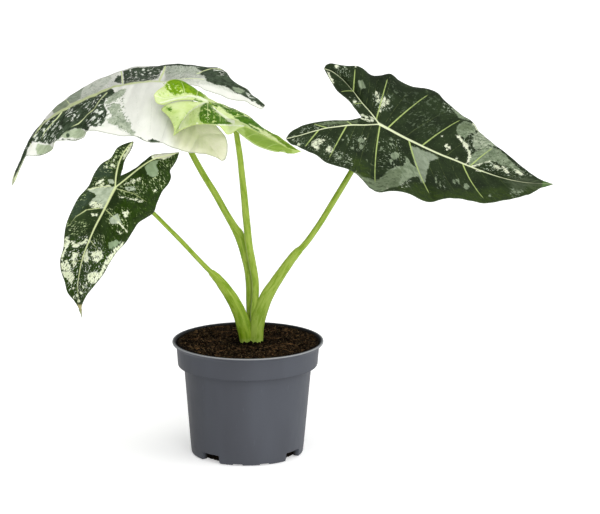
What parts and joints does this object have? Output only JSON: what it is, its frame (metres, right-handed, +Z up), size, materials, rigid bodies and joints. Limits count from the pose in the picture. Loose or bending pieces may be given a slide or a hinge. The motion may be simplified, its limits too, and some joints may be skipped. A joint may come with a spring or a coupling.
{
  "type": "potted alocasia frydek plant",
  "caption": "Small potted aroid house plant with large variegated arrow-shaped leaves on slender stalks, growing from soil in a round grey nursery pot.",
  "frame": {"origin": "centre of the pot's underside, on the surface that the pot stands on", "axes": "+Z up along the pot's axis; +X to the right of the pictured view, along the plant's widest spread; +Y away from the viewer of that view"},
  "size_m": [0.2063, 0.0694, 0.1497],
  "materials": {
    "pot": "satin grey moulded plastic",
    "soil": "dark brown fibrous potting soil",
    "corm": "brown corm",
    "petiole": "smooth light green stalk",
    "leaf_variegated": "velvety leaf, dark green with cream and grey-green sectors",
    "leaf_young": "young yellow-green leaf with darker green marbling",
    "leaf_dark": "velvety very dark green leaf with pale veins and grey-green sectors"
  },
  "bodies": {
    "root": {"nursery_pot": "pot", "potting_soil": "soil", "stem_base": "corm", "petiole_large_leaf": "petiole", "petiole_young_leaf": "petiole", "petiole_right_leaf": "petiole", "petiole_hanging_leaf": "petiole", "blade_large_leaf": "leaf_variegated", "blade_young_leaf": "leaf_young", "blade_right_leaf": "leaf_dark", "blade_hanging_leaf": "leaf_dark"}
  },
  "joints": []
}
